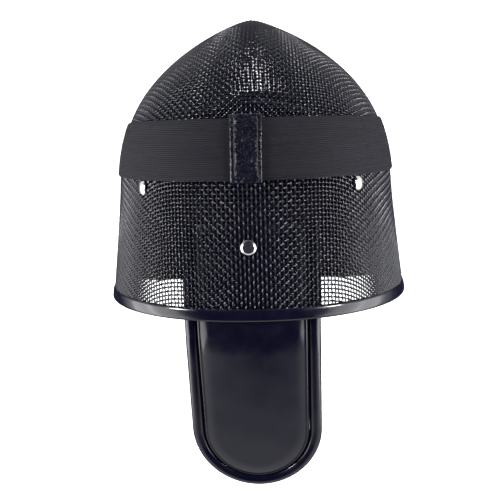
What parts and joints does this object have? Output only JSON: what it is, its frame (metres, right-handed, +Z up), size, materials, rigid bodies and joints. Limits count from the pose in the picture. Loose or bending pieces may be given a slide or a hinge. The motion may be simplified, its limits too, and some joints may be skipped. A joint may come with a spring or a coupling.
{
  "type": "fencing mask",
  "caption": "Fencing mask standing on its padded bib: black wire-mesh cage, glossy edging, padded back tongue, and an elastic head strap turned up over the crown.",
  "frame": {"origin": "on the ground under the middle of the bounding box, the mask standing on the hem of its bib", "axes": "+Z up, -Y the way the face looks, +X the wearer's left"},
  "size_m": [0.2538, 0.3809, 0.3864],
  "materials": {
    "enamelled_wire": "woven steel wire under glossy black enamel",
    "edging_vinyl": "glossy black vinyl tape folded over the edge",
    "tongue_vinyl": "smooth black vinyl over padding, soft gloss",
    "elastic_web": "ribbed black elastic webbing, matt",
    "sleeve_leather": "crinkled black leather, stitched along both sides",
    "nickel": "polished nickel plate",
    "lining_cloth": "black brushed padding, matt",
    "bib_cloth": "black quilted cloth, matt"
  },
  "bodies": {
    "root": {"wire_cage": "enamelled_wire", "rear_edging": "edging_vinyl", "jaw_edging": "edging_vinyl", "head_strap": "elastic_web", "strap_sleeve": "sleeve_leather", "centre_rivet": "nickel", "left_rivet": "nickel", "right_rivet": "nickel", "tongue_pad": "tongue_vinyl", "tongue_binding": "tongue_vinyl", "crown_lining": "lining_cloth", "bib": "bib_cloth"}
  },
  "joints": []
}
